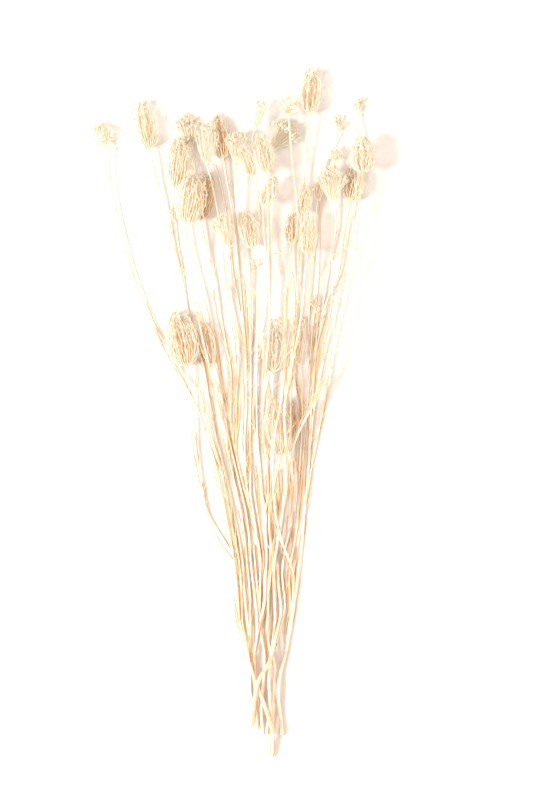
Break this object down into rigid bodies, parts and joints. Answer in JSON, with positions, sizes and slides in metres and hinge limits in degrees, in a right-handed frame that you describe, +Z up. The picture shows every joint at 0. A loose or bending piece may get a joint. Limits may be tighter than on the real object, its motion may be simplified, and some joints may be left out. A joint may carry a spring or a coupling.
{
  "type": "dried lace flower bunch",
  "caption": "Loose bunch of dried bleached lace flower lying flat, thin branched stalks with closed nest-like seed heads, half-open heads and small tufts.",
  "frame": {"origin": "on the surface that the bunch lies on, under the middle of its box", "axes": "+Z up from that surface, +Y along the bunch from the cut ends to the flower heads, +X across it to the right"},
  "size_m": [0.2844, 0.6914, 0.0395],
  "materials": {
    "stalk": "matte bleached dry stalk, straw white with tan streaks",
    "head": "matte bleached dry rays and florets, cream, deeper tan inside"
  },
  "bodies": {
    "root": {"stalk_1": "stalk", "stalk_2": "stalk", "stalk_3": "stalk", "stalk_4": "stalk", "stalk_5": "stalk", "stalk_6": "stalk", "stalk_7": "stalk", "stalk_8": "stalk", "stalk_9": "stalk", "nest_01": "head", "nest_02": "head", "nest_03": "head", "nest_04": "head", "nest_05": "head", "nest_06": "head", "nest_07": "head", "nest_08": "head", "nest_09": "head", "nest_10": "head", "nest_11": "head", "nest_12": "head", "nest_13": "head", "nest_14": "head", "nest_15": "head", "nest_16": "head", "nest_17": "head", "nest_18": "head", "nest_19": "head", "nest_20": "head", "nest_21": "head", "nest_22": "head", "bud_1": "head", "open_head_1": "head", "open_head_2": "head", "open_head_3": "head", "open_head_4": "head", "open_head_5": "head", "open_head_6": "head", "open_head_7": "head", "tuft_01": "head", "tuft_02": "head", "tuft_03": "head", "tuft_04": "head", "tuft_05": "head", "tuft_06": "head", "tuft_07": "head", "tuft_08": "head", "tuft_09": "head"}
  },
  "joints": []
}
